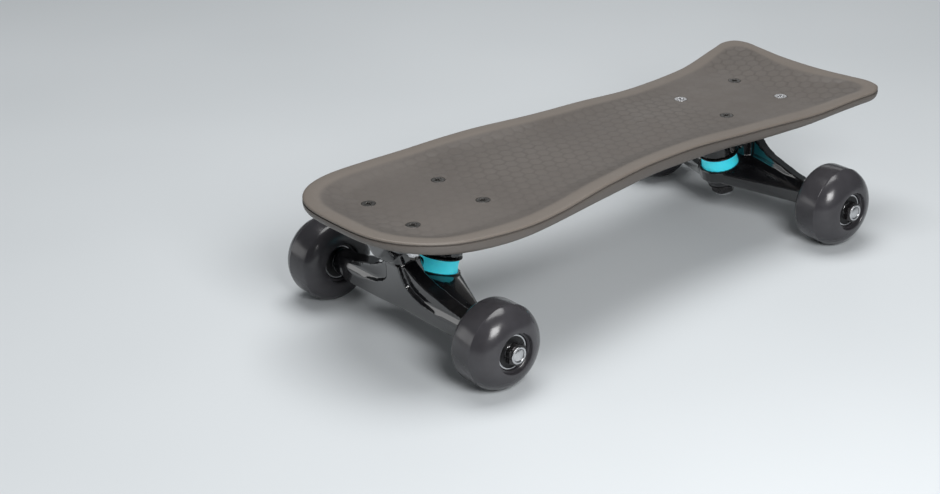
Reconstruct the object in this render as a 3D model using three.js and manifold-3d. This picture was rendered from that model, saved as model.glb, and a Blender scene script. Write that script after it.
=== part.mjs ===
// A small cruiser skateboard: a moulded plastic deck on two traditional-kingpin trucks with four wheels.
// Millimetres. +X points to the rounded nose, +Y to the rider's left, +Z up; the wheels stand on z = 0.
import * as THREE from "three";
import { ConvexGeometry } from "three/addons/geometries/ConvexGeometry.js";
import { mergeVertices } from "three/addons/utils/BufferGeometryUtils.js";
import Module from "manifold-3d";

const wasm = await Module();
wasm.setup();

// ---- driving dimensions ----
const AIR = 0.3; // gap left between pieces that touch or turn on each other

const WHEEL_RADIUS = 25.9;
const WHEEL_SIDES = 28; // a flat of the faceted tread rests on the ground
const WHEEL_HALF = 16; // half of the wheel's width
const WHEEL_Y = 80.4; // middle of a wheel from the board's centre plane
const TREAD_OUTER = 4.4; // the tread's outer and inner edges, from the wheel's middle
const TREAD_INNER = 8.6;
const RECESS_RADIUS = 13.2; // mouth of the bearing recess
const RECESS_WALL = 12.6;
const RECESS_FLOOR = 12.8; // the recess's floor, from the wheel's middle
const DOME_HALF_ANGLE = THREE.MathUtils.degToRad(34);
const BEARING_RADIUS = 11;
const BEARING_WIDTH = 7;
const SPACER_HALF = 5;
const WASHER_THICK = 0.8;
const AXLE_RADIUS = 3.85;
const AXLE_HALF = 98.6;
const AXLE_NUT_THICK = 4.6;

const FRONT_AXLE_X = 153.8;
const REAR_AXLE_X = -141;
const PLATE_TOP = 50; // baseplate's top above the axle
const PLATE_THICK = 6;
const PLATE_LENGTH = 80;
const PLATE_WIDTH = 54;
const BOLTS_FROM_AXLE = -15; // middle of the bolt pattern, inward of the axle
const BOLT_SPACING_X = 53.3;
const BOLT_SPACING_Y = 41.3;
const BOLT_RADIUS = 2.4;

const CUP_TOP = new THREE.Vector3(-23, 0, 13); // centre of the yoke ring's upper face, from the axle
const KINGPIN_LEAN = THREE.MathUtils.degToRad(14); // its lower end leans toward the axle
const RING_THICK = 9;
const RING_RADIUS = 14.7;
const RING_SEAT = 2.3; // depth of the bushing seats in the ring
const BUSHING_RADIUS = 12.2;
const KINGPIN_RADIUS = 4.75;
const STACK_WASHER_THICK = 1.8;
const KINGPIN_NUT_THICK = 6;
const STEER_ANGLE = THREE.MathUtils.degToRad(39); // steering axis above the horizontal
const PIVOT_RADIUS = 5;
const PIVOT_REACH = 50; // from the middle of the ring to the pivot's tip
const FACE_LEAN = THREE.MathUtils.degToRad(12); // the hanger's flat outer face, off the vertical
const FACE_OUT = 6.6; // the flat face from the axle's middle

const DECK_NOSE = 206; // the deck's ends, measured along the board from where the drawing starts
const DECK_TAIL = -202.5;
const DECK_FLOOR_THICK = 6.5;
const WALL_START = 17; // the underside turns down into the side wall this far in from the edge
const DISH_START = 5; // the top falls from rim to floor between these distances in from the edge
const DISH_END = 25;
const PAD_BOTTOM = WHEEL_RADIUS + PLATE_TOP + AIR;

const AXLE_Z = WHEEL_RADIUS;
const HANGER_HALF = WHEEL_Y - SPACER_HALF - BEARING_WIDTH - WASHER_THICK - 3 * AIR;

// ---- materials ----
const material = (color, roughness, metalness) =>
  new THREE.MeshStandardMaterial({ color, roughness, metalness });
const deckPlastic = material("#7b726b", 0.5, 0);
const blackPaint = material("#1a1b1d", 0.25, 0.4);
const wheelUrethane = material("#45434a", 0.4, 0);
const cyanUrethane = material("#46d8ec", 0.4, 0);
const blackUrethane = material("#1c1c20", 0.45, 0);
const zincSteel = material("#c9cbcd", 0.3, 1);
const blackSteel = material("#2b2a2c", 0.35, 0.8);
const darkShield = material("#26262a", 0.4, 0.3);
const cupPlastic = material("#202022", 0.6, 0);

// ---- solids and booleans ----
function solid(geometry) {
  const bare = geometry.clone();
  bare.deleteAttribute("normal");
  bare.deleteAttribute("uv");
  const merged = mergeVertices(bare, 1e-4);
  return new wasm.Manifold(
    new wasm.Mesh({
      numProp: 3,
      vertProperties: merged.attributes.position.array,
      triVerts: new Uint32Array(merged.index.array),
    }),
  );
}

function geometryOf(manifold) {
  const mesh = manifold.getMesh();
  const geometry = new THREE.BufferGeometry();
  geometry.setAttribute("position", new THREE.BufferAttribute(mesh.vertProperties, 3));
  geometry.setIndex(new THREE.BufferAttribute(mesh.triVerts, 1));
  geometry.computeVertexNormals();
  return geometry;
}

const join = (geometries) => geometries.map(solid).reduce((a, b) => a.add(b));
const cut = (body, tools) => tools.map(solid).reduce((a, b) => a.subtract(b), body);

// A piece turned about Z from points of radius and height; a profile that leaves the axis closes on itself.
function turned(profile, segments) {
  const points = profile.map(([radius, height]) => new THREE.Vector2(radius, height));
  const onAxis = profile[0][0] === 0 && profile.at(-1)[0] === 0;
  if (!onAxis) points.push(points[0].clone());
  if (THREE.ShapeUtils.area(points) < 0) points.reverse();
  return new THREE.LatheGeometry(points, segments).rotateX(Math.PI / 2);
}

const tube = (outer, inner, low, high, segments) =>
  turned([[inner, low], [outer, low], [outer, high], [inner, high]], segments);

const rod = (radius, low, high, segments) =>
  turned([[0, low], [radius, low], [radius, high], [0, high]], segments);

const UP = new THREE.Vector3(0, 0, 1);
const turnFromZ = (axis) => new THREE.Quaternion().setFromUnitVectors(UP, axis);

// Turns a shape made along Z onto an axis through a point.
const onto = (geometry, point, axis) =>
  geometry.applyQuaternion(turnFromZ(axis)).translate(point.x, point.y, point.z);

// Points round a circle square to an axis, for the hull of a convex body.
function circle(centre, radius, axis, count) {
  const turn = turnFromZ(axis);
  return Array.from({ length: count }, (_, i) =>
    new THREE.Vector3(radius, 0, 0)
      .applyAxisAngle(UP, (i / count) * 2 * Math.PI)
      .applyQuaternion(turn)
      .add(centre),
  );
}

// The eight corners of a box given by its limits.
const corners = ([x0, x1], [y0, y1], [z0, z1]) =>
  [x0, x1].flatMap((x) =>
    [y0, y1].flatMap((y) => [z0, z1].map((z) => new THREE.Vector3(x, y, z))),
  );

const hull = (points) => new ConvexGeometry(points);

// ---- smooth height curves along the board ----
// A curve through the given points that keeps level stretches level.
function heightCurve(points) {
  const slopes = points.slice(1).map(([x, z], i) => (z - points[i][1]) / (x - points[i][0]));
  const tangents = points.map((_, i) => {
    const before = slopes[i - 1] ?? slopes[0];
    const after = slopes[i] ?? slopes.at(-1);
    return before * after <= 0 ? 0 : (2 * before * after) / (before + after);
  });
  return (x) => {
    const at = THREE.MathUtils.clamp(x, points[0][0], points.at(-1)[0]);
    const last = points.length - 2;
    const i = Math.min(last, Math.max(0, points.findIndex(([px]) => px > at) - 1));
    const index = at >= points.at(-1)[0] ? last : i;
    const [x0, z0] = points[index];
    const [x1, z1] = points[index + 1];
    const span = x1 - x0;
    const t = (at - x0) / span;
    const start = 2 * t ** 3 - 3 * t ** 2 + 1;
    const startSlope = t ** 3 - 2 * t ** 2 + t;
    const end = 3 * t ** 2 - 2 * t ** 3;
    const endSlope = t ** 3 - t ** 2;
    const level = start * z0 + end * z1;
    return level + span * (startSlope * tangents[index] + endSlope * tangents[index + 1]);
  };
}

const rimHeight = heightCurve([
  [-206, 91], [-177, 87.8], [-137, 83.9], [-87, 85], [-27, 88.6],
  [43, 89.6], [113, 86.7], [163, 88.6], [206, 91.6],
]);
const floorHeight = heightCurve([
  [-206, 89.2], [-180, 86], [-156, 82.7], [-98, 82.7], [-45, 85.6],
  [70, 85.6], [112, 84.2], [166, 84.2], [186, 87], [206, 89.6],
]);
const wallBottom = heightCurve([
  [-206, 84.2], [-173, 80.4], [-128, 76], [-100, 75.6], [-60, 77.6],
  [3, 79.3], [70, 79.8], [128, 78.4], [170, 80.6], [206, 85],
]);

// ---- deck ----
const DECK_STEPS = 42; // stations along half of the outline
const SPINE_REAR = -150; // each ring round the deck shrinks toward a spine between these two places
const SPINE_FRONT = 130;
const HALF_OUTLINE = [
  [DECK_NOSE, 0], [203, 31], [191, 50], [169, 63.5], [128, 69.5], [91, 67.8], [45, 61.2],
  [7, 55.6], [-35, 53.5], [-76, 53.7], [-109, 56.2], [-153, 62], [-181, 66.6], [-192.5, 68.2],
  [-199.8, 64.2], [DECK_TAIL, 55], [-201.2, 41], [-199, 22], [-198.2, 0],
];

// Rings from the underside round the edge to the dish, each a distance in from the edge and a height.
const DECK_RINGS = [
  [WALL_START, (x) => floorHeight(x) - DECK_FLOOR_THICK],
  [3.2, (x) => wallBottom(x)],
  [0.9, (x) => wallBottom(x) + 0.9],
  [0, (x) => wallBottom(x) + 3.2],
  [0, (x) => rimHeight(x) - 1],
  [0.9, (x) => rimHeight(x)],
  [DISH_START, (x) => rimHeight(x)],
  [(DISH_START + DISH_END) / 2, (x) => (rimHeight(x) + floorHeight(x)) / 2],
  [DISH_END, (x) => floorHeight(x)],
];

// Stations along the left half of the outline, from the nose to the middle of the tail.
function deckOutline() {
  const mirror = new THREE.Vector3(1, -1, 1);
  const half = HALF_OUTLINE.map(([x, y]) => new THREE.Vector3(x, y, 0));
  const guides = [half[1], half.at(-2)].map((p) => p.clone().multiply(mirror));
  const curve = new THREE.CatmullRomCurve3([guides[0], ...half, guides[1]], false, "centripetal");
  const points = curve.getSpacedPoints(DECK_STEPS * 20).filter((p) => p.y >= 0);
  const step = (points.length - 1) / DECK_STEPS;
  const picked = Array.from({ length: DECK_STEPS + 1 }, (_, i) => points[Math.round(i * step)]);
  // the station nearest to the tail's furthest point moves onto it
  const tip = points.reduce((a, b) => (b.x < a.x ? b : a));
  const nearest = picked.reduce((a, b) => (b.distanceTo(tip) < a.distanceTo(tip) ? b : a));
  picked[picked.indexOf(nearest)] = tip;
  picked[0] = half[0];
  picked[DECK_STEPS] = half.at(-1);
  return picked;
}

function ringVertices(outline, inset, height) {
  const round = [...outline, ...outline.slice(1, -1).reverse()];
  return round.flatMap(({ x, y }, i) => {
    const spine = THREE.MathUtils.clamp(x, SPINE_REAR, SPINE_FRONT);
    const share = inset / Math.hypot(x - spine, y);
    const at = x + (spine - x) * share;
    const side = i <= DECK_STEPS ? 1 : -1;
    return [at, side * y * (1 - share), height(at)];
  });
}

// Faces between a ring and the next one, which starts a whole loop of vertices later.
function stripFaces(first, loop) {
  return Array.from({ length: loop }, (_, i) => {
    const a = first + i;
    const b = first + ((i + 1) % loop);
    return [a, b, b + loop, a, b + loop, a + loop];
  }).flat();
}

// Faces that close a ring from side to side.
function capFaces(first, loop, facesUp) {
  const faces = [];
  const triangle = (a, b, c) => faces.push(...(facesUp ? [a, b, c] : [a, c, b]).map((v) => first + v));
  for (let left = 0; left < DECK_STEPS; left++) {
    const right = (loop - left) % loop;
    if (left !== right) triangle(left, left + 1, right);
    if (left + 1 !== loop - left - 1) triangle(right, left + 1, loop - left - 1);
  }
  return faces;
}

function deckBody() {
  const outline = deckOutline();
  const loop = 2 * DECK_STEPS;
  const top = (DECK_RINGS.length - 1) * loop;
  const vertices = DECK_RINGS.flatMap(([inset, height]) => ringVertices(outline, inset, height));
  const strips = DECK_RINGS.slice(1).flatMap((_, ring) => stripFaces(ring * loop, loop));
  const geometry = new THREE.BufferGeometry();
  geometry.setAttribute("position", new THREE.Float32BufferAttribute(vertices, 3));
  geometry.setIndex([...strips, ...capFaces(0, loop, false), ...capFaces(top, loop, true)]);
  return geometry;
}

// The four bolt places of a truck, as [board x, y, deck floor height].
const boltPlaces = (axleX, inward) =>
  [1, -1].flatMap((end) =>
    [1, -1].map((side) => {
      const x = axleX + inward * BOLTS_FROM_AXLE + (end * BOLT_SPACING_X) / 2;
      return [x, (side * BOLT_SPACING_Y) / 2, floorHeight(x)];
    }),
  );

const HEAD_RADIUS = 4.3;
const HEAD_DEPTH = 2.6;
const BOLT_NUT_THICK = 4.8;
const BOLT_PAST_NUT = 2.2; // thread that shows under the nut

const boltHole = () =>
  turned(
    [
      [0, -20], [BOLT_RADIUS + AIR, -20], [BOLT_RADIUS + AIR, -HEAD_DEPTH],
      [HEAD_RADIUS + AIR, 0], [HEAD_RADIUS + AIR, 2], [0, 2],
    ],
    12,
  );

// The flat pad under the deck that a baseplate is bolted to.
function pad(axleX, inward) {
  const middle = axleX + inward * BOLTS_FROM_AXLE;
  return hull(corners([middle - 43, middle + 43], [-30, 30], [PAD_BOTTOM, PAD_BOTTOM + 5]));
}

function deck() {
  const places = [...boltPlaces(FRONT_AXLE_X, 1), ...boltPlaces(REAR_AXLE_X, -1)];
  const holes = places.map(([x, y, z]) => boltHole().translate(x, y, z));
  return cut(join([deckBody(), pad(FRONT_AXLE_X, 1), pad(REAR_AXLE_X, -1)]), holes);
}

// A countersunk deck bolt with its locknut run on, along Z with the head's top at z = 0.
function deckBolt(nutTop) {
  const nutLow = nutTop - BOLT_NUT_THICK;
  const end = nutLow - BOLT_PAST_NUT;
  const screw = [
    [0, end], [BOLT_RADIUS, end], [BOLT_RADIUS, -HEAD_DEPTH], [HEAD_RADIUS, -0.2], [HEAD_RADIUS, 0], [0, 0],
  ];
  return join([turned(screw, 12), rod(4.6, nutLow, nutTop, 6)]);
}

// ---- truck, with its axle on the origin and +X outward ----
const kingpinUp = new THREE.Vector3(-Math.sin(KINGPIN_LEAN), 0, Math.cos(KINGPIN_LEAN));
const alongKingpin = (down) => CUP_TOP.clone().addScaledVector(kingpinUp, -down);
const ringMiddle = alongKingpin(RING_THICK / 2);
const steerAxis = new THREE.Vector3(Math.cos(STEER_ANGLE), 0, Math.sin(STEER_ANGLE));
const alongSteer = (distance) => ringMiddle.clone().addScaledVector(steerAxis, distance);

const BOARDSIDE_TOP = -7.8; // distances down the kingpin from the ring's upper face
const SEAT = BOARDSIDE_TOP - STACK_WASHER_THICK - 2 * AIR;
const ROADSIDE_BOTTOM = RING_THICK + 6;
const NUT_TOP = ROADSIDE_BOTTOM + STACK_WASHER_THICK + 2 * AIR;
const KINGPIN_END = NUT_TOP + KINGPIN_NUT_THICK + 1.2;
const KINGPIN_HEAD = -36;

// The baseplate's flange, with rounded corners and a small chamfer underneath.
function flange(bottom) {
  const rounding = 8;
  const posts = [1, -1].flatMap((end) =>
    [1, -1].flatMap((side) => {
      const x = BOLTS_FROM_AXLE + end * (PLATE_LENGTH / 2 - rounding);
      const y = side * (PLATE_WIDTH / 2 - rounding);
      return [
        ...circle(new THREE.Vector3(x, y, bottom), rounding - 0.8, UP, 12),
        ...circle(new THREE.Vector3(x, y, bottom + 0.8), rounding, UP, 12),
        ...circle(new THREE.Vector3(x, y, PLATE_TOP), rounding, UP, 12),
      ];
    }),
  );
  return hull(posts);
}

function baseplate() {
  const bottom = PLATE_TOP - PLATE_THICK;
  const kingpinBoss = hull([
    ...circle(alongKingpin(SEAT), 13.6, kingpinUp, 18),
    ...circle(alongKingpin(SEAT - 20), 15.5, kingpinUp, 18),
  ]);
  const pivotHousing = hull([
    ...circle(alongSteer(PIVOT_REACH - 7), 8.5, steerAxis, 16),
    ...circle(alongSteer(PIVOT_REACH + 2), 8.5, steerAxis, 16),
    ...corners([6, 24.5], [-11, 11], [bottom, bottom + 1]),
  ]);
  const rib = hull(corners([-24, 12], [-3.5, 3.5], [38, bottom + 1]));
  const boltHoles = boltPlaces(0, 1).map(([x, y]) =>
    rod(BOLT_RADIUS + AIR, bottom - 14, PLATE_TOP + 1, 12).translate(x, y, 0),
  );
  const pivotBore = onto(rod(7.2, PIVOT_REACH - 14, PIVOT_REACH + 0.6, 18), ringMiddle, steerAxis);
  const kingpinBore = onto(rod(KINGPIN_RADIUS + AIR, -40, 60, 16), CUP_TOP, kingpinUp);
  const headPocket = onto(rod(10, -KINGPIN_HEAD - 6.3, 60, 16), CUP_TOP, kingpinUp);
  const bores = [...boltHoles, pivotBore, kingpinBore, headPocket];
  return cut(join([flange(bottom), kingpinBoss, pivotHousing, rib]), bores);
}

// Half of the flat outer face, and of the taller body behind it: along the axle and up the face.
const FACE_OUTLINE = [
  [57, -5.2], [57, 3.2], [40, 4.4], [22, 7.6], [14, 11], [9.5, 15], [7.2, 20.6], [6, 28],
];
const BODY_OUTLINE = [
  [60, -4], [60, 8.6], [45, 11.6], [33, 15], [24, 17.6], [16, 21.5], [9, 27],
];
const FACE_THICK = 4;
const BODY_THICK = 8;
const YOKE_HALF = 61; // the yoke spreads to the arms this far out from the middle
const ARM_RADIUS = 8.6;
const ARM_CENTRE = new THREE.Vector3(-1, 0, 1.4); // the round arms sit a little high on the axle
const UNDERSIDE = 5.3; // the flat underside below the axle, in the middle
const UNDERSIDE_FALL = 3.4; // how much lower it runs out at the wheels

// A plate across the truck from half its outline, between two distances out from the axle.
function crossPlate(half, from, to) {
  const outline = [...half, ...half.map(([y, z]) => [-y, z]).reverse()];
  const shape = new THREE.Shape(outline.map(([y, z]) => new THREE.Vector2(y, z)));
  return new THREE.ExtrudeGeometry(shape, { depth: to - from, bevelEnabled: false })
    .rotateX(Math.PI / 2)
    .rotateZ(Math.PI / 2)
    .translate(from, 0, 0)
    .rotateY(FACE_LEAN);
}

// The two round arms that hold the axle, in one bar from wheel to wheel.
function armBar() {
  const end = HANGER_HALF;
  const slim = ARM_RADIUS - 0.9;
  const profile = [
    [0, -end], [slim, -end], [ARM_RADIUS, 0.9 - end], [ARM_RADIUS, end - 0.9], [slim, end], [0, end],
  ];
  return onto(turned(profile, 28), ARM_CENTRE, new THREE.Vector3(0, 1, 0));
}

// The nose that sits in the baseplate's cup, with the neck that carries it.
function pivotNose() {
  const neck = hull([
    ...circle(alongSteer(PIVOT_REACH - 10), PIVOT_RADIUS + 0.8, steerAxis, 16),
    ...circle(alongSteer(PIVOT_REACH - 24), 7.4, steerAxis, 16),
    ...corners([-8, 3], [-9, 9], [6, 12]),
  ]);
  const nose = [
    [0, 18], [PIVOT_RADIUS, 18], [PIVOT_RADIUS, PIVOT_REACH - 3.4],
    [PIVOT_RADIUS - 1.2, PIVOT_REACH - 1], [PIVOT_RADIUS - 3, PIVOT_REACH], [0, PIVOT_REACH],
  ];
  return [neck, onto(turned(nose, 16), ringMiddle, steerAxis)];
}

// The ring round the kingpin, and the yoke that spreads from it to the arms.
function kingpinYoke() {
  const rim = RING_RADIUS - 0.8;
  const profile = [
    [0, 0], [rim, 0], [RING_RADIUS, 0.8], [RING_RADIUS, RING_THICK - 0.8], [rim, RING_THICK], [0, RING_THICK],
  ];
  const yoke = hull([
    ...circle(alongKingpin(0.6), 13.6, kingpinUp, 20),
    ...circle(alongKingpin(RING_THICK - 0.6), 12.6, kingpinUp, 20),
    ...corners([-9.4, 0], [-YOKE_HALF, YOKE_HALF], [-3, 5.6]),
    ...corners([-7, 0], [-14, 14], [-5, 13]),
  ]);
  return [onto(turned(profile, 24), alongKingpin(RING_THICK), kingpinUp), yoke];
}

function hanger() {
  const faceBack = FACE_OUT - FACE_THICK;
  const face = crossPlate(FACE_OUTLINE, faceBack, FACE_OUT);
  const body = crossPlate(BODY_OUTLINE, faceBack - BODY_THICK, faceBack + 1);
  const pieces = [armBar(), face, body, ...pivotNose(), ...kingpinYoke()];
  return cut(join(pieces), [...stackClearances(), ...undersideCuts(), axleBore(), proudOfFace()]);
}

// Room for the bushings and their washers, and for the kingpin to tilt in the ring.
function stackClearances() {
  const upRing = (radius, low, high) =>
    onto(rod(radius, low, high, 20), alongKingpin(RING_THICK), kingpinUp);
  return [
    upRing(BUSHING_RADIUS + AIR, RING_THICK - RING_SEAT, RING_THICK + 14),
    upRing(BUSHING_RADIUS + AIR, -6, RING_SEAT),
    upRing(14.4, -40, -4.5),
    upRing(7.5, -14, RING_THICK + 14),
  ];
}

// The underside is flat along the truck and drops from the middle toward the wheels.
function undersideCuts() {
  const outside = HANGER_HALF + 1;
  return [outside, -outside].map((y) =>
    hull([
      ...corners([-20, 20], [0, 0], [-30, -UNDERSIDE]),
      ...corners([-20, 20], [y, y], [-30, -UNDERSIDE - UNDERSIDE_FALL]),
    ]),
  );
}

const axleBore = () =>
  rod(AXLE_RADIUS + AIR, -HANGER_HALF - 1, HANGER_HALF + 1, 16).rotateX(Math.PI / 2);

const proudOfFace = () => hull(corners([FACE_OUT, 30], [-57, 57], [-24, 28])).rotateY(FACE_LEAN);

// Pieces of the kingpin stack, along Z with the ring's upper face at z = 0.
function kingpin() {
  const top = -KINGPIN_HEAD;
  return join([rod(KINGPIN_RADIUS, -KINGPIN_END, top - 2, 16), rod(8, top - 6, top, 6)]);
}

const kingpinNut = () => {
  const low = -NUT_TOP - KINGPIN_NUT_THICK;
  const round = solid(tube(8.2, KINGPIN_RADIUS + AIR, low, -NUT_TOP, 16));
  return round.intersect(solid(rod(8.2, low, -NUT_TOP, 6)));
};

const BUSHING_BORE = KINGPIN_RADIUS + 0.8;

const boardsideBushing = () => tube(BUSHING_RADIUS, BUSHING_BORE, AIR - RING_SEAT, -BOARDSIDE_TOP, 20);

function roadsideBushing() {
  const low = -ROADSIDE_BOTTOM;
  const top = RING_SEAT - AIR - RING_THICK;
  const cone = [[9.8, low], [BUSHING_RADIUS, top - 3.5], [BUSHING_RADIUS, top]];
  return turned([[BUSHING_BORE, low], ...cone, [BUSHING_BORE, top]], 20);
}

// A flat washer of the stack, resting on a face at the given height.
const stackWasher = (radius, low) =>
  tube(radius, KINGPIN_RADIUS + AIR, low, low + STACK_WASHER_THICK, 20);

const boardsideWasher = () => stackWasher(14, -BOARDSIDE_TOP + AIR);
const roadsideWasher = () => stackWasher(10, -ROADSIDE_BOTTOM - AIR - STACK_WASHER_THICK);

// The plastic cup round the pivot's nose, along the steering axis from the middle of the ring.
function pivotCup() {
  const bore = PIVOT_RADIUS + AIR;
  const low = PIVOT_REACH - 6.7;
  const top = PIVOT_REACH + 0.35;
  const inside = [[bore, low], [bore, PIVOT_REACH - 1.2], [2.4, top - 0.25], [0, top - 0.25]];
  return turned([[0, top], [6.9, top], [6.9, low], ...inside], 16);
}

// ---- wheel and its bearings, along Z with the wheel's middle at z = 0 ----
// The outer side's dome, an arc from the tread's edge to the rim of the bearing recess.
function domeArc(treadRadius, steps) {
  const radiusDrop = treadRadius - RECESS_RADIUS;
  const rise = WHEEL_HALF - TREAD_OUTER;
  const middle = Math.atan2(radiusDrop, rise);
  const arcRadius = Math.hypot(radiusDrop, rise) / (2 * Math.sin(DOME_HALF_ANGLE));
  const first = middle - DOME_HALF_ANGLE;
  return Array.from({ length: steps + 1 }, (_, i) => {
    const angle = first + (2 * DOME_HALF_ANGLE * i) / steps;
    return [
      treadRadius - arcRadius * (Math.cos(first) - Math.cos(angle)),
      TREAD_OUTER + arcRadius * (Math.sin(angle) - Math.sin(first)),
    ];
  });
}

function wheel() {
  const seat = BEARING_RADIUS + 0.1;
  const tread = WHEEL_RADIUS / Math.cos(Math.PI / WHEEL_SIDES);
  const outer = [
    ...domeArc(tread, 4), [RECESS_WALL, WHEEL_HALF - 0.9], [RECESS_WALL, RECESS_FLOOR],
    [seat, RECESS_FLOOR], [seat, SPACER_HALF],
  ];
  const inner = [
    [seat, -SPACER_HALF], [seat, -RECESS_FLOOR], [RECESS_WALL, -RECESS_FLOOR], [13.6, -WHEEL_HALF],
    [tread - 8.6, -15.6], [tread - 5.1, -14.4], [tread - 2, -12], [tread, -TREAD_INNER],
  ];
  const profile = [...outer, [8.5, SPACER_HALF], [8.5, -SPACER_HALF], ...inner];
  return turned(profile, WHEEL_SIDES).rotateZ(Math.PI / WHEEL_SIDES);
}

const onAxle = (radius, half, segments) => tube(radius, AXLE_RADIUS + 0.25, -half, half, segments);
const bearing = () => onAxle(BEARING_RADIUS - 0.1, BEARING_WIDTH / 2, 20);
const spacer = () => onAxle(5.6, SPACER_HALF, 12);
const speedWasher = () => onAxle(6, WASHER_THICK / 2, 16);

const axle = () => rod(AXLE_RADIUS, -AXLE_HALF, AXLE_HALF, 16);

function axleNut() {
  const bore = AXLE_RADIUS + AIR;
  const hexThick = AXLE_NUT_THICK - 1.2;
  const collar = solid(tube(5.7, bore, hexThick - 0.2, AXLE_NUT_THICK, 12));
  const hex = solid(tube(7.3, bore, 0, hexThick, 12)).intersect(solid(rod(7.3, 0, hexThick, 6)));
  return hex.add(collar);
}

// ---- the assembly ----
const board = new THREE.Group();
const drawing = new THREE.Group();
drawing.position.x = -(DECK_NOSE + DECK_TAIL) / 2; // the middle of the deck's length goes on the origin
board.add(drawing);

function place(name, shape, look, parent) {
  const geometry = shape instanceof THREE.BufferGeometry ? shape : geometryOf(shape);
  const mesh = new THREE.Mesh(geometry, look);
  mesh.name = name;
  parent.add(mesh);
  return mesh;
}

function addKingpinStack(end, truck) {
  const stack = new THREE.Group();
  stack.position.copy(CUP_TOP);
  stack.rotation.y = -KINGPIN_LEAN;
  truck.add(stack);
  place(`${end}_kingpin`, kingpin(), blackSteel, stack);
  place(`${end}_kingpin_nut`, kingpinNut(), blackSteel, stack);
  place(`${end}_boardside_bushing`, boardsideBushing(), cyanUrethane, stack);
  place(`${end}_roadside_bushing`, roadsideBushing(), blackUrethane, stack);
  place(`${end}_boardside_washer`, boardsideWasher(), blackSteel, stack);
  place(`${end}_roadside_washer`, roadsideWasher(), blackSteel, stack);
}

function addPivotCup(end, truck) {
  const pivot = new THREE.Group();
  pivot.position.copy(ringMiddle);
  pivot.rotation.y = Math.PI / 2 - STEER_ANGLE;
  truck.add(pivot);
  place(`${end}_pivot_cup`, pivotCup(), cupPlastic, pivot);
}

// A wheel with what holds it, on the arm that points to the given side of the truck's own frame.
function addWheel(name, truck, sign) {
  const hub = new THREE.Group();
  hub.position.y = sign * WHEEL_Y;
  hub.rotation.x = (-sign * Math.PI) / 2;
  truck.add(hub);
  place(`${name}_wheel`, wheel(), wheelUrethane, hub);
  place(`${name}_bearing_spacer`, spacer(), zincSteel, hub);
  const bearingAt = SPACER_HALF + AIR + BEARING_WIDTH / 2;
  const washerAt = SPACER_HALF + 2 * AIR + BEARING_WIDTH + WASHER_THICK / 2;
  for (const [where, out] of [["outer", 1], ["inner", -1]]) {
    place(`${name}_${where}_bearing`, bearing(), darkShield, hub).position.z = out * bearingAt;
    place(`${name}_${where}_speed_washer`, speedWasher(), zincSteel, hub).position.z = out * washerAt;
  }
  place(`${name}_axle_nut`, axleNut(), blackSteel, hub).position.z = washerAt + WASHER_THICK / 2 + AIR;
}

// The photo shows two of the rear bolts bright, across a diagonal; the others are dark.
const BRIGHT_BOLTS = ["rear_bolt_nose_right", "rear_bolt_tail_left"];

function addBolts(end, axleX, inward) {
  const nutTop = AXLE_Z + PLATE_TOP - PLATE_THICK - AIR;
  for (const [x, y, z] of boltPlaces(axleX, inward)) {
    const along = x > axleX + inward * BOLTS_FROM_AXLE ? "nose" : "tail";
    const name = `${end}_bolt_${along}_${y > 0 ? "left" : "right"}`;
    const look = BRIGHT_BOLTS.includes(name) ? zincSteel : blackSteel;
    place(name, deckBolt(nutTop - z), look, drawing).position.set(x, y, z);
  }
}

place("deck", deck(), deckPlastic, drawing);
for (const [end, axleX, inward] of [["front", FRONT_AXLE_X, 1], ["rear", REAR_AXLE_X, -1]]) {
  const truck = new THREE.Group();
  truck.position.set(axleX, 0, AXLE_Z);
  truck.rotation.z = inward > 0 ? 0 : Math.PI;
  drawing.add(truck);
  place(`${end}_baseplate`, baseplate(), blackPaint, truck);
  place(`${end}_hanger`, hanger(), blackPaint, truck);
  place(`${end}_axle`, axle(), zincSteel, truck).rotation.x = -Math.PI / 2;
  addKingpinStack(end, truck);
  addPivotCup(end, truck);
  addWheel(`${end}_left`, truck, inward); // +Y of the rear truck's own frame is the rider's right
  addWheel(`${end}_right`, truck, -inward);
  addBolts(end, axleX, inward);
}

export default board;
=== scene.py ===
"""Looks of a mini cruiser skateboard: a moulded deck on two kingpin trucks with four urethane wheels.

Lengths are in millimetres where a name or comment says so and are turned into metres by MM.
"""

import math

import bmesh
import bpy
import numpy as np
from mathutils import Matrix, Vector


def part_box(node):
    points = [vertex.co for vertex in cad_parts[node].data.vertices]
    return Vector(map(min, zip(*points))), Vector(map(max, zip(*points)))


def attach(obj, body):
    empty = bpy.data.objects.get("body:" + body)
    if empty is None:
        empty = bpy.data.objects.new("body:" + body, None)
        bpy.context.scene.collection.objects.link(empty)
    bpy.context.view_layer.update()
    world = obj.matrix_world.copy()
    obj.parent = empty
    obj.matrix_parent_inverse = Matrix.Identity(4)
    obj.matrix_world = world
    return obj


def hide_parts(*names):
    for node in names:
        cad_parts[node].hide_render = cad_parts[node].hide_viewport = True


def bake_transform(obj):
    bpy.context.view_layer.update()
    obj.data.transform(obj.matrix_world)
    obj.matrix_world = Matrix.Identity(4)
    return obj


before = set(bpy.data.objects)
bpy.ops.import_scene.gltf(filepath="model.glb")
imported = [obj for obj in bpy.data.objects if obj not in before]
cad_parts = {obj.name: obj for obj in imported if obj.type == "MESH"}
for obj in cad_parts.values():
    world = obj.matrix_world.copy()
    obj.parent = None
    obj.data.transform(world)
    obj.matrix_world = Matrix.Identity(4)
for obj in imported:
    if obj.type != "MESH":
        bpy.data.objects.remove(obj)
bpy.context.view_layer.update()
MM = 0.001

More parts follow.
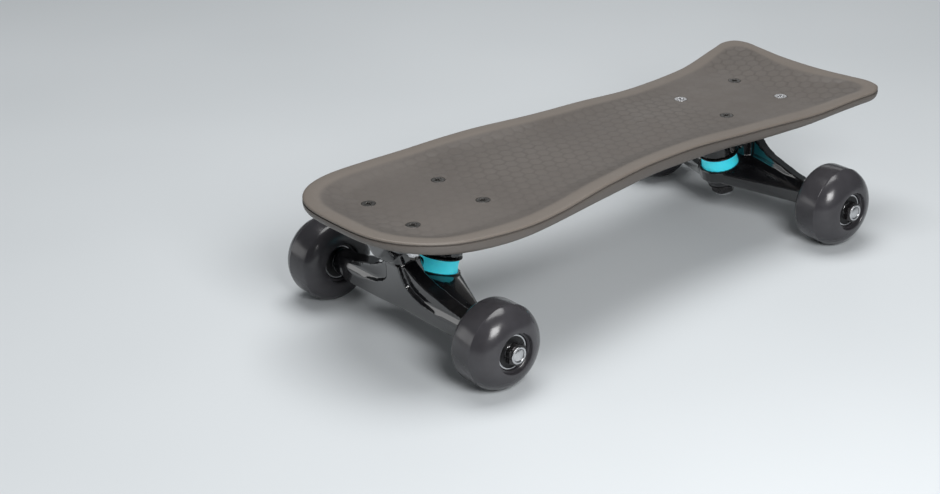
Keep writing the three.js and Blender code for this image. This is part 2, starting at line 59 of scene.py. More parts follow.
# ---- sizes of the CAD model, in millimetres ----
ENDS = ("front", "rear")
SIDES = ("left", "right")
ROOT = "deck_assembly"
WHEEL_Y = 80.4
WHEEL_RADIUS = 25.9
WHEEL_HALF = 16.0
TREAD_OUTER = 4.4
TREAD_INNER = 8.6
RECESS_RADIUS = 13.2
DOME_HALF_ANGLE = math.radians(34)
SPACER_HALF = 5.0
BEARING_WIDTH = 7.0
SPEED_WASHER_THICK = 0.8
AIR = 0.3
AXLE_RADIUS = 3.85
AXLE_BORE = 3.95  # of what sits on the axle
AXLE_HALF = 98.6
THREAD_PITCH = 1.06
CUP_TOP = (-23.0, 0.0, 13.0)
KINGPIN_LEAN = math.radians(14)
BUSHING_RADIUS = 12.2
KINGPIN_RADIUS = 4.75
BOARDSIDE_TOP = 7.8
ROADSIDE_BOTTOM = -15.0
STACK_WASHER_THICK = 1.8
KINGPIN_NUT_THICK = 6.0
KINGPIN_HEAD = 36.0
TRUCK_PATTERN = (138.8, -126.0)  # middles of the two bolt patterns along the board
FLOOR_THICK = 6.5
WALL_START = 17.0  # the underside turns down into the side wall this far in from the edge
DISH_START = 5.0  # the top falls from rim to floor between these distances in from the edge
DISH_END = 25.0
DRAWN_MIDDLE = 1.75  # the middle of the deck's length in the curves below; it moves to the origin


def body_of_hanger(end):
    return f"{end}_hanger_assembly"


# ---- material building blocks ----
class Nodes:
    """A material's node tree with short calls for the nodes used here."""

    def __init__(self, name):
        self.material = bpy.data.materials.new(name)
        self.material.use_nodes = True
        self.tree = self.material.node_tree
        self.shader = self.tree.nodes["Principled BSDF"]
        self.position = self.tree.nodes.new("ShaderNodeTexCoord").outputs["Object"]

    def noise(self, per_metre, detail=2.0, roughness=0.5):
        node = self.tree.nodes.new("ShaderNodeTexNoise")
        node.inputs["Scale"].default_value = per_metre
        node.inputs["Detail"].default_value = detail
        node.inputs["Roughness"].default_value = roughness
        self.tree.links.new(self.position, node.inputs["Vector"])
        return node.outputs["Fac"]

    def remap(self, value, low, high, from_low=0.3, from_high=0.7):
        node = self.tree.nodes.new("ShaderNodeMapRange")
        node.inputs["From Min"].default_value = from_low
        node.inputs["From Max"].default_value = from_high
        node.inputs["To Min"].default_value = low
        node.inputs["To Max"].default_value = high
        self.tree.links.new(value, node.inputs["Value"])
        return node.outputs["Result"]

    def mix(self, factor, first, second):
        node = self.tree.nodes.new("ShaderNodeMix")
        node.data_type = "RGBA"
        self.tree.links.new(factor, node.inputs[0])
        for socket, value in ((node.inputs[6], first), (node.inputs[7], second)):
            if isinstance(value, tuple):
                socket.default_value = (*value, 1.0)
            else:
                self.tree.links.new(value, socket)
        return node.outputs[2]

    def attribute(self, name):
        node = self.tree.nodes.new("ShaderNodeAttribute")
        node.attribute_name = name
        return node.outputs["Fac"]

    def bump(self, height, distance_mm, strength=1.0):
        node = self.tree.nodes.new("ShaderNodeBump")
        node.inputs["Distance"].default_value = distance_mm * MM
        node.inputs["Strength"].default_value = strength
        self.tree.links.new(height, node.inputs["Height"])
        self.tree.links.new(node.outputs["Normal"], self.shader.inputs["Normal"])

    def link(self, value, socket):
        self.tree.links.new(value, self.shader.inputs[socket])

    def mottle(self, dark, light, per_metre, detail=3):
        """A base colour that drifts between two close ones."""
        self.link(self.mix(self.remap(self.noise(per_metre, detail), 0, 1), dark, light), "Base Color")

    def set(self, **values):
        for socket, value in values.items():
            self.shader.inputs[socket.replace("_", " ")].default_value = value
        return self


def deck_plastic():
    m = Nodes("deck_plastic")
    m.set(IOR=1.5)
    base = m.mix(m.remap(m.noise(14, 3), 0, 1), (0.100, 0.087, 0.077), (0.124, 0.109, 0.097))
    # painted sheen: the plain rim band is mixed toward a lighter colour
    painted_rim_sheen = m.mix(m.attribute("painted_rim_sheen"), base, (0.162, 0.139, 0.119))
    # painted shade: the grooves between the cells are mixed toward a darker colour
    shaded = m.mix(m.attribute("groove"), painted_rim_sheen, (0.092, 0.080, 0.071))
    scuff = m.remap(m.noise(420, 4, 0.7), 0, 0.25, 0.62, 0.8)
    m.link(m.mix(scuff, shaded, (0.22, 0.20, 0.18)), "Base Color")
    m.link(m.remap(m.noise(60, 4), 0.40, 0.54), "Roughness")
    m.bump(m.noise(2600, 2, 0.6), 0.035)
    return m.material


def truck_paint():
    m = Nodes("truck_paint")
    m.set(IOR=1.55, Coat_Weight=1.0, Coat_Roughness=0.04)
    m.mottle((0.005, 0.005, 0.006), (0.009, 0.009, 0.010), 90)
    m.link(m.remap(m.noise(150, 3), 0.10, 0.18), "Roughness")
    m.bump(m.noise(420, 2, 0.5), 0.03)
    return m.material


def wheel_urethane():
    m = Nodes("wheel_urethane")
    m.set(IOR=1.5)
    m.mottle((0.036, 0.034, 0.038), (0.048, 0.046, 0.051), 70)
    m.link(m.remap(m.noise(180, 4), 0.17, 0.27), "Roughness")
    m.bump(m.noise(600, 2, 0.5), 0.012)
    return m.material


def bushing_urethane():
    m = Nodes("bushing_urethane")
    m.set(IOR=1.5, Subsurface_Weight=0.25, Subsurface_Scale=0.003)
    m.set(Emission_Color=(0.06, 0.78, 0.95, 1), Emission_Strength=0.22)  # painted light: a faint glow in the bushings' own colour brightens them in the deck's shadow
    m.mottle((0.05, 0.78, 0.96), (0.09, 0.84, 1.0), 120)
    m.link(m.remap(m.noise(260, 3), 0.30, 0.42), "Roughness")
    m.bump(m.noise(1500, 2), 0.02)
    return m.material


def black_urethane():
    m = Nodes("black_urethane")
    m.set(IOR=1.5)
    m.mottle((0.010, 0.010, 0.013), (0.018, 0.018, 0.022), 120)
    m.link(m.remap(m.noise(260, 3), 0.32, 0.46), "Roughness")
    m.bump(m.noise(1500, 2), 0.02)
    return m.material


def steel(name, dark, light, roughness, metallic=1.0):
    m = Nodes(name)
    m.set(Metallic=metallic)
    m.mottle(dark, light, 240, 4)
    m.link(m.remap(m.noise(700, 4, 0.6), *roughness), "Roughness")
    m.bump(m.noise(3200, 2), 0.012)
    return m.material


def plain_plastic(name, dark, light, roughness):
    m = Nodes(name)
    m.mottle(dark, light, 200)
    m.link(m.remap(m.noise(500, 3), *roughness), "Roughness")
    m.bump(m.noise(2400, 2), 0.02)
    return m.material


DECK = deck_plastic()
PAINT = truck_paint()
WHEEL = wheel_urethane()
CYAN = bushing_urethane()
BLACK = black_urethane()
ZINC = steel("zinc_steel", (0.46, 0.46, 0.47), (0.62, 0.62, 0.63), (0.20, 0.34))
BLACK_STEEL = steel("black_steel", (0.030, 0.029, 0.030), (0.055, 0.052, 0.054), (0.22, 0.36), 0.8)
BOLT_STEEL = steel("bolt_steel", (0.07, 0.066, 0.062), (0.12, 0.114, 0.108), (0.26, 0.38), 0.9)
RACE = steel("bearing_race", (0.40, 0.40, 0.41), (0.55, 0.55, 0.56), (0.14, 0.26))
SHIELD = plain_plastic("bearing_shield", (0.004, 0.004, 0.005), (0.008, 0.008, 0.009), (0.45, 0.6))
NYLON = plain_plastic("nylon_ring", (0.20, 0.21, 0.22), (0.30, 0.31, 0.32), (0.35, 0.5))
CUP = plain_plastic("cup_plastic", (0.012, 0.012, 0.012), (0.02, 0.02, 0.02), (0.4, 0.6))


# ---- mesh building blocks ----
def new_object(name, vertices, faces, material, matrix=Matrix.Identity(4), sharp=35):
    mesh = bpy.data.meshes.new(name)
    mesh.from_pydata([tuple(v) for v in vertices], [], [tuple(f) for f in faces])
    mesh.transform(matrix)
    mesh.materials.append(material)
    obj = bpy.data.objects.new(name, mesh)
    bpy.context.scene.collection.objects.link(obj)
    clean(mesh, 0.001 * MM)
    smooth(mesh, sharp)
    return obj


def clean(mesh, distance):
    edit = bmesh.new()
    edit.from_mesh(mesh)
    bmesh.ops.remove_doubles(edit, verts=edit.verts, dist=distance)
    bmesh.ops.recalc_face_normals(edit, faces=edit.faces)
    edit.to_mesh(mesh)
    edit.free()


def smooth(mesh, sharp):
    mesh.polygons.foreach_set("use_smooth", [True] * len(mesh.polygons))
    mesh.set_sharp_from_angle(angle=math.radians(sharp))


def eased(profile, radius=0.4, steps=3):
    """The closed profile with each corner rounded by short chords, as (radius, height) points."""
    out = []
    count = len(profile)
    for i, corner in enumerate(profile):
        before, at, after = Vector(profile[i - 1]), Vector(corner), Vector(profile[(i + 1) % count])
        back, ahead = before - at, after - at
        if at.x < 1e-6 or back.length < 1e-6 or ahead.length < 1e-6:
            out.append(tuple(at))
            continue
        cut = min(radius, back.length * 0.45, ahead.length * 0.45)
        start, end = at + back.normalized() * cut, at + ahead.normalized() * cut
        for step in range(steps + 1):
            t = step / steps
            out.append(tuple((1 - t) ** 2 * start + 2 * t * (1 - t) * at + t * t * end))
    return out


def turned(name, profile, material, matrix, radius=0.4, segments=96, wobble=None):
    """A piece turned about its own Z from a closed profile of (radius, height) points in millimetres.

    Its corners are eased by radius, and wobble(r, z, angle) may give each point a new radius and height.
    """
    points = eased(profile, radius) if radius else list(profile)
    vertices, faces = [], []
    count = len(points)
    for i in range(segments):
        angle = 2 * math.pi * i / segments
        for r, z in points:
            if wobble:
                r, z = wobble(r, z, angle)
            vertices.append((r * math.cos(angle) * MM, r * math.sin(angle) * MM, z * MM))
    for i in range(segments):
        a, b = i * count, ((i + 1) % segments) * count
        for j in range(count):
            k = (j + 1) % count
            faces.append((a + j, b + j, b + k, a + k))
    return new_object(name, vertices, faces, material, matrix)


def ring(inner, outer, low, high):
    """The profile of a plain ring."""
    return [(inner, low), (outer, low), (outer, high), (inner, high)]


def hexed(flats, chamfer_low, chamfer_high, low, high, bore):
    """Turns a round profile into a hexagon with chamfered corners; the bore stays round."""
    corner = flats / 2 / math.cos(math.pi / 6)

    def shape(r, z, angle):
        if r <= bore + 0.01:
            return r, z
        side = flats / 2 / math.cos((angle + math.pi / 6) % (math.pi / 3) - math.pi / 6)
        from_end = min(z - low if chamfer_low else math.inf, high - z if chamfer_high else math.inf)
        limit = min(corner, flats / 2 * 0.97 + max(from_end, 0) * 2.2)
        return min(side, limit) * (r / corner), z

    return shape


def hex_profile(bore, corner, low, high):
    """A profile with enough levels near its ends for the chamfer of hexed()."""
    steps = (0, 0.25, 0.5, 0.8)
    levels = [low + step for step in steps] + [high - step for step in reversed(steps)]
    return [(bore, low), *[(corner, z) for z in levels], (bore, high)]


def hexagonal(name, flats, corner, bore, low, high, material, matrix, chamfers=(True, True)):
    """A nut or a bolt's head, chamfered at its low and high ends where asked."""
    shape = hexed(flats, *chamfers, low, high, bore)
    profile = hex_profile(bore, corner, low, high)
    return turned(name, profile, material, matrix, radius=0, wobble=shape)


def cut_with(obj, cutter):
    """Takes the cutter out of obj and removes it."""
    modifier = obj.modifiers.new("cut", "BOOLEAN")
    modifier.operation = "DIFFERENCE"
    modifier.solver = "EXACT"
    modifier.object = cutter
    apply_modifiers(obj)
    bpy.data.objects.remove(cutter)


def apply_modifiers(obj):
    evaluated = obj.evaluated_get(bpy.context.evaluated_depsgraph_get())
    mesh = bpy.data.meshes.new_from_object(evaluated)
    obj.modifiers.clear()
    old, obj.data = obj.data, mesh
    bpy.data.meshes.remove(old)


def join_objects(objects):
    """Joins meshes into the first of them."""
    edit = bmesh.new()
    for obj in objects:
        edit.from_mesh(obj.data)
    edit.to_mesh(objects[0].data)
    edit.free()
    for obj in objects[1:]:
        bpy.data.objects.remove(obj)
    return objects[0]


# ---- places in the frame ----
def at_truck(end):
    """The truck's own frame: the axle on the origin, +X outward."""
    lo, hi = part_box(f"{end}_axle")
    middle = (lo + hi) / 2
    half_turn = Matrix.Identity(4) if end == "front" else Matrix.Rotation(math.pi, 4, "Z")
    return Matrix.Translation(middle) @ half_turn


def at_kingpin(end):
    """The kingpin's frame: the yoke ring's upper face at the origin, +Z up the pin."""
    place = Vector(CUP_TOP) * MM
    return at_truck(end) @ Matrix.Translation(place) @ Matrix.Rotation(-KINGPIN_LEAN, 4, "Y")


def at_hub(end, side):
    """A wheel's frame: the wheel's middle at the origin, +Z outward along the axle."""
    sign = 1 if side == "left" else -1
    axle = at_truck(end).translation
    place = Vector((axle.x, sign * WHEEL_Y * MM, axle.z))
    return Matrix.Translation(place) @ Matrix.Rotation(-sign * math.pi / 2, 4, "X")


def bolt_nodes():
    return sorted(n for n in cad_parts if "_bolt_" in n)


def at_bolt(node):
    """A deck bolt's frame: the top of its head at the origin."""
    lo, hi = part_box(node)
    return Matrix.Translation(((lo.x + hi.x) / 2, (lo.y + hi.y) / 2, hi.z))


def settle(piece, body, slot, *nodes):
    """The piece rides on a body and stands for CAD nodes, which it hides; slot is not used."""
    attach(piece, body)
    if nodes:
        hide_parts(*nodes)
    return piece


# ---- deck ----
def height_curve(points):
    """A smooth curve through points of x and z that keeps level stretches level."""
    xs, zs = np.array(points, float).T
    slopes = np.diff(zs) / np.diff(xs)
    before = np.concatenate(([slopes[0]], slopes))
    after = np.concatenate((slopes, [slopes[-1]]))
    total = np.where(before + after == 0, 1, before + after)
    tangents = np.where(before * after <= 0, 0, 2 * before * after / total)

    def height(x):
        x = np.clip(x, xs[0], xs[-1])
        i = np.clip(np.searchsorted(xs, x, side="right") - 1, 0, len(xs) - 2)
        span = xs[i + 1] - xs[i]
        t = (x - xs[i]) / span
        start, end = 2 * t**3 - 3 * t**2 + 1, 3 * t**2 - 2 * t**3
        leaving, arriving = t**3 - 2 * t**2 + t, t**3 - t**2
        level = start * zs[i] + end * zs[i + 1]
        return level + span * (leaving * tangents[i] + arriving * tangents[i + 1])

    return height


rim_height = height_curve([
    (-206, 91), (-177, 87.8), (-137, 83.9), (-87, 85), (-27, 88.6),
    (43, 89.6), (113, 86.7), (163, 88.6), (206, 91.6),
])
floor_height = height_curve([
    (-206, 89.2), (-180, 86), (-156, 82.7), (-98, 82.7), (-45, 85.6),
    (70, 85.6), (112, 84.2), (166, 84.2), (186, 87), (206, 89.6),
])
wall_bottom = height_curve([
    (-206, 84.2), (-173, 80.4), (-128, 76), (-100, 75.6), (-60, 77.6),
    (3, 79.3), (70, 79.8), (128, 78.4), (170, 80.6), (206, 85),
])
HALF_OUTLINE = [
    (206, 0), (203, 31), (191, 50), (169, 63.5), (128, 69.5), (91, 67.8), (45, 61.2),
    (7, 55.6), (-35, 53.5), (-76, 53.7), (-109, 56.2), (-153, 62), (-181, 66.6), (-192.5, 68.2),
    (-199.8, 64.2), (-202.5, 55), (-201.2, 41), (-199, 22), (-198.2, 0),
]
SPINE = (-150, 130)  # the rings of the deck shrink toward a line between these two places
OUTLINE_SPACING = 1.05
CELL = 8.6  # flat to flat of one cell of the top's texture
CELLS_START = 9.5  # plain rim outside this distance in from the edge
CELL_RISE = 0.030  # the mean rise of a cell per millimetre in from its side
CELL_TILT = 0.022  # the steepest slope given to a whole cell, along x and along y
GROOVE_REACH = 1.3  # the groove between two cells fades out this far into each
GROOVE_DEPTH = 0.05
CELLS_SUNK = 0.08  # keeps the tops of the cells under the CAD's surface

EDGE_GAP = 0.02  # the side wall stands this far inside the CAD's
# The edge's section: distances in from the edge, each with a height over the wall's bottom ...
LOWER_EDGE = ((3.4, 0), (2.2, 0.12), (1.2, 0.6), (0.45, 1.5), (0.05, 2.8))
# ... or with a depth under the rim.
SEAM = ((EDGE_GAP, 2.6), (0.15, 2.35), (1.0, 2.15), (1.0, 1.5))  # the dark line under the rim
UPPER_EDGE = ((0.2, 1.35), (0.05, 1.1), (0.25, 0.5), (0.8, 0.14), (1.8, 0.02))


def centripetal(points, per_span):
    """Centripetal Catmull-Rom curve through the points, the first and last being guides."""
    out = []
    for p0, p1, p2, p3 in zip(points, points[1:], points[2:], points[3:]):
        times = [0.0]
        for a, b in ((p0, p1), (p1, p2), (p2, p3)):
            times.append(times[-1] + math.sqrt(np.linalg.norm(b - a)))
        t0, t1, t2, t3 = times
        for t in np.linspace(t1, t2, per_span, endpoint=False):
            a1 = (t1 - t) / (t1 - t0) * p0 + (t - t0) / (t1 - t0) * p1
            a2 = (t2 - t) / (t2 - t1) * p1 + (t - t1) / (t2 - t1) * p2
            a3 = (t3 - t) / (t3 - t2) * p2 + (t - t2) / (t3 - t2) * p3
            b1 = (t2 - t) / (t2 - t0) * a1 + (t - t0) / (t2 - t0) * a2
            b2 = (t3 - t) / (t3 - t1) * a2 + (t - t1) / (t3 - t1) * a3
            out.append((t2 - t) / (t2 - t1) * b1 + (t - t1) / (t2 - t1) * b2)
    out.append(points[-2])
    return np.array(out)


def deck_outline(spacing):
    """The closed outline, points a spacing apart, counter-clockwise from the nose."""
    half = [np.array(p, float) for p in HALF_OUTLINE]
    flip = np.array((1, -1))
    curve = centripetal([half[1] * flip, *half, half[-2] * flip], 60)
    length = np.concatenate(([0], np.cumsum(np.linalg.norm(np.diff(curve, axis=0), axis=1))))
    at = np.linspace(0, length[-1], round(length[-1] / spacing) + 1)
    left = np.stack([np.interp(at, length, curve[:, k]) for k in (0, 1)], axis=1)
    left[:, 1] = np.maximum(left[:, 1], 0)
    return np.concatenate((left, left[-2:0:-1] * flip))


def hex_cells(x, y):
    """Distance from each point to its hexagon's nearest side, in millimetres, and the cell it is in."""
    width, rise = CELL, CELL * math.sqrt(3)
    best = None
    for dx, dy in ((0, 0), (width / 2, rise / 2)):
        cx = np.round((x - dx) / width) * width + dx
        cy = np.round((y - dy) / rise) * rise + dy
        far = np.hypot(x - cx, y - cy)
        found = (far, cx, cy)
        if best is not None:
            found = tuple(np.where(far < best[0], new, old) for new, old in zip(found, best))
        best = found
    _, cx, cy = best
    across = [abs((x - cx) * math.cos(a) + (y - cy) * math.sin(a)) for a in (0, math.pi / 3, -math.pi / 3)]
    return width / 2 - np.max(across, axis=0), cx, cy


def ease(value, low, high):
    """0 below low, 1 above high, and a smooth step between."""
    t = np.clip((value - low) / (high - low), 0, 1)
    return t * t * (3 - 2 * t)


def scatter(cx, cy, seed):
    """A steady value between -1 and 1 for each cell."""
    value = np.sin(cx * 12.9898 + cy * 78.233 + seed) * 43758.5453
    return 2 * (value - np.floor(value)) - 1


def cell_relief(x, y, inset):
    """Height of the moulded cells over the dish and how deep in a groove each point is."""
    sway_x = 0.5 * np.sin(x / 17 + y / 29)
    sway_y = 0.5 * np.sin(y / 19 - x / 31)
    side, cx, cy = hex_cells(x + sway_x, y + sway_y)
    groove = 1 - ease(side, 0.1, GROOVE_REACH)
    peak = side * CELL_RISE * (1 + scatter(cx, cy, 1.0))
    tilt = (scatter(cx, cy, 2.0) * (x - cx) + scatter(cx, cy, 3.0) * (y - cy)) * CELL_TILT
    to_bolts = np.minimum(abs(x - TRUCK_PATTERN[0]), abs(x - TRUCK_PATTERN[1]))
    clear = 0.25 + 0.75 * ease(to_bolts, 14, 46)  # the cells fade near the bolts
    strength = ease(inset, CELLS_START, CELLS_START + 5) * clear
    return strength * (peak + tilt - GROOVE_DEPTH * groove - CELLS_SUNK), strength * groove


def underside(x):
    return floor_height(x) - FLOOR_THICK


def top_height(x, inset):
    drop = ease(inset, DISH_START, DISH_END)
    return rim_height(x) * (1 - drop) + floor_height(x) * drop


def raised(curve, by):
    """The height curve moved up."""
    return lambda x: curve(x) + by


def between(first, second):
    """The height curve halfway between two."""
    return lambda x: (first(x) + second(x)) / 2


def wall_rings():
    """Up the side, from the underside to the line under the rim, as pairs of inset and height curve."""
    return [
        (WALL_START, underside),
        (11, between(underside, wall_bottom)),
        *((inset, raised(wall_bottom, up)) for inset, up in LOWER_EDGE),
        (EDGE_GAP, between(wall_bottom, rim_height)),
        *((inset, raised(rim_height, -down)) for inset, down in SEAM),
    ]


def top_rings():
    """Over the rim and down into the dish, as pairs of inset and height curve."""
    rim = [(inset, raised(rim_height, -down)) for inset, down in UPPER_EDGE]
    slope = np.arange(2.8, DISH_END + 0.1, 0.9)
    return rim + [(inset, lambda x, inset=inset: top_height(x, inset)) for inset in slope]


def deck_rings(reach):
    """Inset, height curve and whether on top, for the rings from the underside's middle to the top's."""
    level = np.ones_like(reach)
    for share in np.linspace(1, 0, 12, endpoint=False):
        yield WALL_START + (reach - WALL_START) * share, underside, False
    for inset, height in wall_rings():
        yield inset * level, height, False
    for inset, height in top_rings():
        yield inset * level, height, True
    for share in np.linspace(0, 1, 56)[1:]:
        yield DISH_END + (reach - DISH_END) * share, floor_height, True


def deck_points():
    """The points ring after ring, how far in each is, whether it is on top, and the points in a ring."""
    outline = deck_outline(OUTLINE_SPACING)
    spine = np.clip(outline[:, 0], *SPINE)
    reach = np.hypot(outline[:, 0] - spine, outline[:, 1])
    toward = np.stack((spine - outline[:, 0], -outline[:, 1]), axis=1) / reach[:, None]
    rows, insets, tops = [], [], []
    for inset, height, on_top in deck_rings(reach):
        place = outline + toward * inset[:, None]
        rows.append(np.column_stack((place, height(place[:, 0]))))
        insets.append(inset)
        tops.append(np.full(len(outline), on_top))
    return np.concatenate(rows), np.concatenate(insets), np.concatenate(tops), len(outline)


def ring_faces(rings, count):
    """Quads between each ring of count points and the next."""
    return [
        (a + i, a + (i + 1) % count, a + count + (i + 1) % count, a + count + i)
        for a in range(0, (rings - 1) * count, count)
        for i in range(count)
    ]


def deck():
    points, inset, on_top, count = deck_points()
    relief, groove = cell_relief(points[:, 0], points[:, 1], inset)
    points[:, 2] += np.where(on_top, relief, 0)
    # painted sheen: a mask of the plain rim band, where the deck's colour is made lighter
    painted_rim_sheen = 1 - ease(inset, CELLS_START - 1, CELLS_START + 3)
    mesh = bpy.data.meshes.new("deck_shell")
    drawn = (points - (DRAWN_MIDDLE, 0, 0)) * MM
    mesh.from_pydata(drawn.tolist(), [], ring_faces(len(points) // count, count))
    for name, values in (("groove", groove), ("painted_rim_sheen", painted_rim_sheen)):
        layer = mesh.attributes.new(name, "FLOAT", "POINT")
        layer.data.foreach_set("value", np.where(on_top, values, 0).astype(np.float32))
    mesh.materials.append(DECK)
    clean(mesh, 0.04 * MM)
    smooth(mesh, 50)
    obj = bpy.data.objects.new("deck_shell", mesh)
    bpy.context.scene.collection.objects.link(obj)
    return obj


def build_deck():
    shell = deck()
    hole = [(0, -14), (2.8, -14), (2.8, -2.7), (4.5, -0.1), (4.55, 3), (0, 3)]
    cutters = [
        turned(f"cut_{node}", hole, DECK, at_bolt(node), radius=0, segments=48) for node in bolt_nodes()
    ]
    cut_with(shell, join_objects(cutters))
    smooth(shell.data, 50)
    settle(shell, ROOT, "deck_plastic", "deck")


# ---- deck bolts ----
BRIGHT_BOLTS = ("rear_bolt_nose_right", "rear_bolt_tail_left")  # two of the rear ones, given the lighter zinc steel as a painted glint for the light their heads catch


def cross_recess(r, z, angle):
    """Sinks a cross into a bolt's head."""
    if z < -0.05:
        return r, z
    half_width, half_length = 0.55, 2.3
    x, y = abs(r * math.cos(angle)), abs(r * math.sin(angle))
    outside = max(min(x, y) - half_width, max(x, y) - half_length)
    depth = 1.5 * float(ease(-outside, -0.25, 0.35)) * (1 - 0.2 * min(r / half_length, 1))
    return r, z - depth


def build_bolts():
    for node in bolt_nodes():
        lo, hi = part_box(node)
        place = at_bolt(node)
        end = (lo.z - hi.z) / MM
        build_screw(node, place, end)
        build_locknut(node, place, end + 6.95)


def build_screw(node, place, end):
    # painted glint: the bright bolts take zinc steel, the others the dark bolt steel
    metal, slot = (ZINC, "zinc_steel") if node in BRIGHT_BOLTS else (BOLT_STEEL, "black_steel")
    head = [(r, 0.0) for r in np.linspace(0.0, 4.0, 30)]
    sides = [(4.2, -0.08), (4.28, -0.3), (2.4, -2.7), (2.4, end + 0.5), (2.0, end), (0, end)]
    screw = turned(f"{node}_screw", head + sides, metal, place, radius=0, segments=72, wobble=cross_recess)
    settle(screw, ROOT, slot, node)


def build_locknut(node, place, top):
    low = top - 3.6
    nut = hexagonal(f"{node}_locknut", 7.9, 4.55, 2.45, low, top, ZINC, place, chamfers=(True, False))
    collar = turned(f"{node}_collar", ring(2.45, 3.4, low - 1.15, low + 0.1), ZINC, place, radius=0.35)
    settle(join_objects([nut, collar]), ROOT, "zinc_steel")


# ---- trucks ----
def cast(node, name, body, voxel=0.6, passes=5):
    """A cast copy of a CAD node: the same shape with its edges run together by small fillets."""
    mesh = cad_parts[node].data.copy()
    mesh.materials.clear()
    mesh.materials.append(PAINT)
    obj = bpy.data.objects.new(name, mesh)
    bpy.context.scene.collection.objects.link(obj)
    remesh = obj.modifiers.new("skin", "REMESH")
    remesh.mode = "VOXEL"
    remesh.voxel_size = voxel * MM
    soften = obj.modifiers.new("fillets", "SMOOTH")
    soften.factor = 0.5
    soften.iterations = passes
    apply_modifiers(obj)
    smooth(obj.data, 180)
    return settle(obj, body, "truck_paint", node)


def build_bushings(end):
    bore, wide = KINGPIN_RADIUS + 0.8, BUSHING_RADIUS
    barrel = [
        (bore, -1.9), (wide, -1.9), (wide, 0.8), (wide - 0.2, 3.4), (wide, 6),
        (wide, BOARDSIDE_TOP), (bore, BOARDSIDE_TOP),
    ]
    cone = [(bore, ROADSIDE_BOTTOM), (9.8, ROADSIDE_BOTTOM), (wide, -10.5), (wide, -7.1), (bore, -7.1)]
    build_bushing(end, "boardside", barrel, CYAN)
    build_bushing(end, "roadside", cone, BLACK)


def build_bushing(end, side, profile, material):
    """A cushion turned round the kingpin in place of the CAD bushing."""
    place = at_kingpin(end)
    piece = turned(f"{end}_{side}_cushion", profile, material, place, radius=0.8)
    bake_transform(piece)
    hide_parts(f"{end}_{side}_bushing")


def build_stack_washers(end, bore):
    top = BOARDSIDE_TOP + AIR
    low = ROADSIDE_BOTTOM - AIR
    cupped = [
        (bore, top + 0.4), (8.5, top + 0.4), (11.5, top), (13.6, top), (13.9, top + 0.6),
        (13.6, top + 1.1), (11.8, top + 1.2), (8.8, top + 1.7), (bore, top + 1.7),
    ]
    dished = [
        (bore, low - 1.7), (7.6, low - 1.7), (9.7, low - 1.3), (9.9, low - 0.6), (9.7, low), (bore, low),
    ]
    for side, profile in (("boardside", cupped), ("roadside", dished)):
        washer = turned(f"{end}_{side}_cup_washer", profile, BLACK_STEEL, at_kingpin(end), radius=0.25)
        settle(washer, ROOT, "black_steel", f"{end}_{side}_washer")


def build_kingpin(end):
    place = at_kingpin(end)
    bore = KINGPIN_RADIUS + 0.1
    build_stack_washers(end, bore)
    top = ROADSIDE_BOTTOM - STACK_WASHER_THICK - 2 * AIR - 0.05
    low = top - KINGPIN_NUT_THICK + 1.4
    nut = hexagonal(f"{end}_kingpin_locknut", 14.1, 8.15, bore, low, top, BLACK_STEEL, place)
    settle(nut, ROOT, "black_steel", f"{end}_kingpin_nut")
    collar = turned(f"{end}_kingpin_locknut_ring", ring(bore, 6.6, low - 1.3, low + 0.1), NYLON, place)
    settle(collar, ROOT, "black_steel")
    build_kingpin_bolt(end, place, top - KINGPIN_NUT_THICK - 1.1)


def build_kingpin_bolt(end, place, tip):
    pin = [
        (0, tip), (KINGPIN_RADIUS - 0.7, tip),
        *thread(KINGPIN_RADIUS, tip + 0.5, tip + 9.5), (KINGPIN_RADIUS, tip + 10),
        (KINGPIN_RADIUS, KINGPIN_HEAD - 3), (0, KINGPIN_HEAD - 3),
    ]
    shank = turned(f"{end}_kingpin_shank", pin, BLACK_STEEL, place, radius=0)
    low, top = KINGPIN_HEAD - 5.9, KINGPIN_HEAD - 0.1
    head = hexagonal(
        f"{end}_kingpin_head", 13.7, 7.9, 0.01, low, top, BLACK_STEEL, place, chamfers=(False, True)
    )
    settle(join_objects([shank, head]), ROOT, "black_steel", f"{end}_kingpin")


def thread(radius, low, high):
    """Crests and roots of a thread, as rings."""
    root, crest = radius - 0.42, radius - 0.02
    points = []
    z = low
    while z < high:
        points += [(root, z), (crest, z + THREAD_PITCH * 0.42), (crest, z + THREAD_PITCH * 0.58)]
        z += THREAD_PITCH
    return points


def build_axle(end):
    place = at_truck(end) @ Matrix.Rotation(-math.pi / 2, 4, "X")
    threads = thread(AXLE_RADIUS, AXLE_HALF - 7.5, AXLE_HALF - 0.9)
    top = threads + [(AXLE_RADIUS - 0.9, AXLE_HALF), (0, AXLE_HALF)]
    bottom = [(r, -z) for r, z in reversed(top)]
    profile = bottom + [(AXLE_RADIUS, -70), (AXLE_RADIUS, 70)] + top
    bar = turned(f"{end}_axle_bar", profile, ZINC, place, radius=0, segments=64)
    settle(bar, body_of_hanger(end), "zinc_steel", f"{end}_axle")


def build_truck(end):
    cast(f"{end}_hanger", f"{end}_hanger_casting", body_of_hanger(end))
    cast(f"{end}_baseplate", f"{end}_baseplate_casting", ROOT)
    build_bushings(end)
    build_kingpin(end)
    build_axle(end)


# ---- wheels and what they turn on ----
BEARING_SEAT = 11.1
INNER_LIP = 14.0  # the inner side rounds off from this radius to the tread


